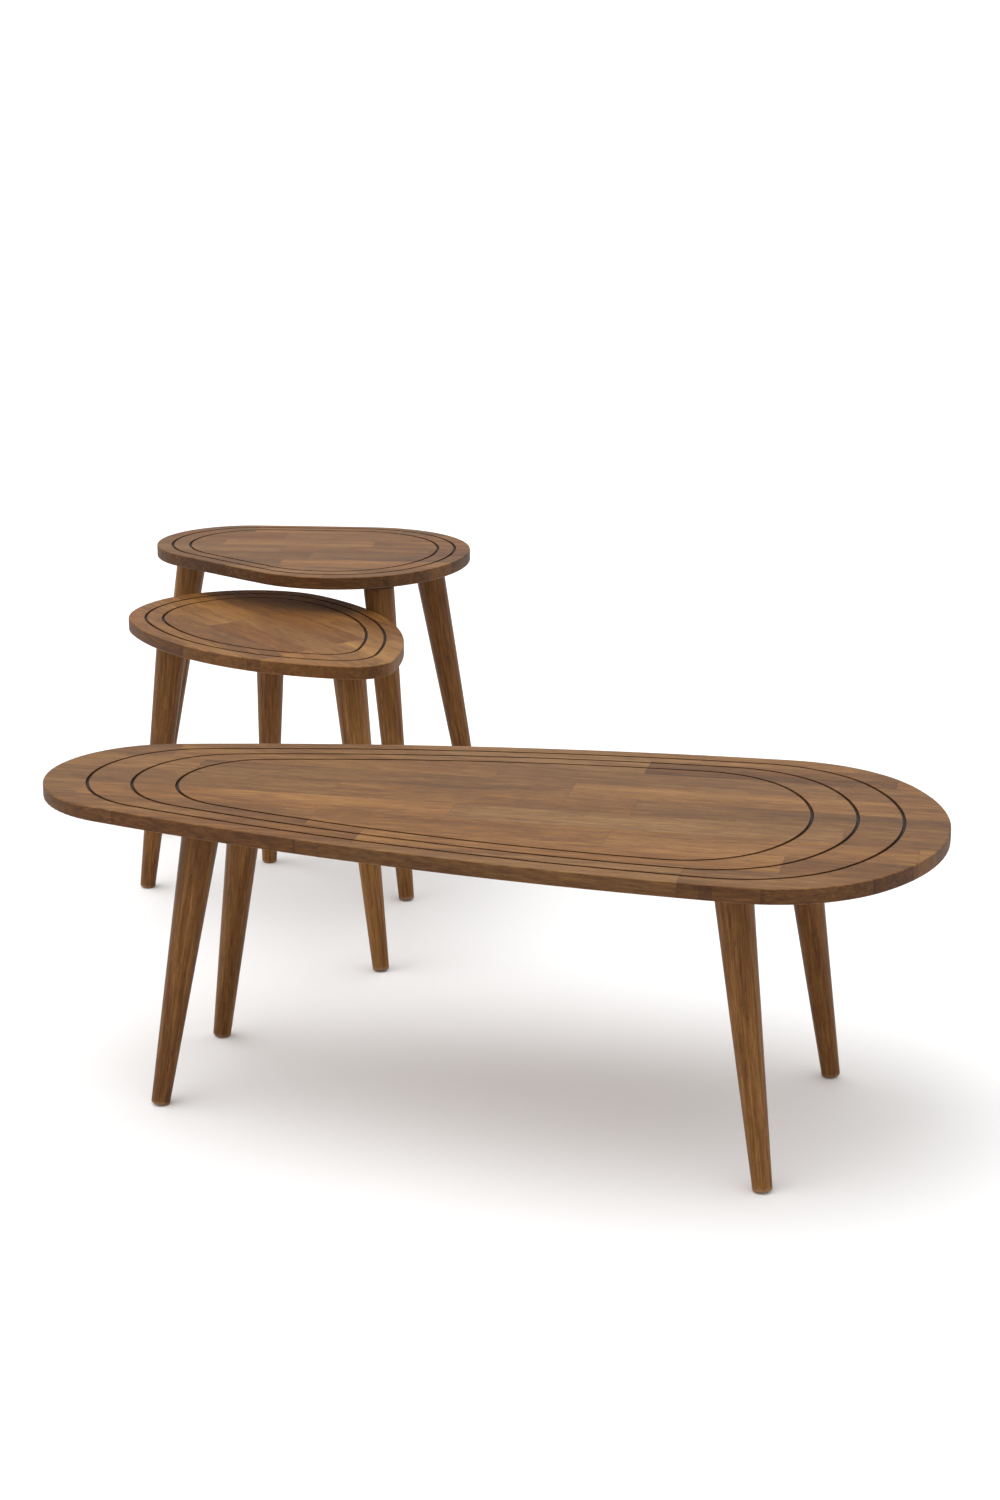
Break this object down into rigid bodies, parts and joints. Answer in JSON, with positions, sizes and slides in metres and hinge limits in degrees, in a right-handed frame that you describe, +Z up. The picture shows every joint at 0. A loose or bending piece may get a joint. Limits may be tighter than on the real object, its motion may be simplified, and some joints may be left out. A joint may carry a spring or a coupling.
{
  "type": "nesting tables",
  "caption": "Nesting wooden tables with egg-shaped, ring-grooved tops on tapered round legs that lean outwards: a long low coffee table and taller side tables that slide under each other.",
  "frame": {"origin": "on the floor, in the middle of the rectangle that the whole set covers", "axes": "+X along the coffee table's long axis towards its wide end, +Y from the coffee table towards the side tables, +Z up"},
  "size_m": [1.4615, 1.4228, 0.54],
  "materials": {
    "stained_wood_top": "satin walnut-stained solid wood panel with visible staves",
    "stained_wood_leg": "satin walnut-stained turned wood",
    "black_steel": "black powder coat",
    "zinc_steel": "zinc plated"
  },
  "bodies": {
    "coffee_table": {"coffee_table_top": "stained_wood_top", "coffee_table_leg_front_left": "stained_wood_leg", "coffee_table_leg_back_left": "stained_wood_leg", "coffee_table_leg_front_right": "stained_wood_leg", "coffee_table_leg_back_right": "stained_wood_leg", "coffee_table_plate_front_left": "black_steel", "coffee_table_plate_back_left": "black_steel", "coffee_table_plate_front_right": "black_steel", "coffee_table_plate_back_right": "black_steel", "coffee_table_hanger_bolts": "zinc_steel", "coffee_table_plate_screws": "zinc_steel"},
    "tall_side_table": {"tall_table_top": "stained_wood_top", "tall_table_leg_left": "stained_wood_leg", "tall_table_leg_front": "stained_wood_leg", "tall_table_leg_right": "stained_wood_leg", "tall_table_plate_left": "black_steel", "tall_table_plate_front": "black_steel", "tall_table_plate_right": "black_steel", "tall_table_hanger_bolts": "zinc_steel", "tall_table_plate_screws": "zinc_steel"},
    "small_side_table": {"small_table_top": "stained_wood_top", "small_table_leg_left": "stained_wood_leg", "small_table_leg_back": "stained_wood_leg", "small_table_leg_right": "stained_wood_leg", "small_table_plate_left": "black_steel", "small_table_plate_back": "black_steel", "small_table_plate_right": "black_steel", "small_table_hanger_bolts": "zinc_steel", "small_table_plate_screws": "zinc_steel"}
  },
  "joints": [
    {"name": "tall_table_slide", "type": "slide", "parent": "coffee_table", "child": "tall_side_table", "axis": [0, 1, 0], "range_m": [0, 0.5]},
    {"name": "small_table_slide", "type": "slide", "parent": "tall_side_table", "child": "small_side_table", "axis": [-0.7507, -0.6606, 0], "range_m": [0, 0.45]}
  ]
}
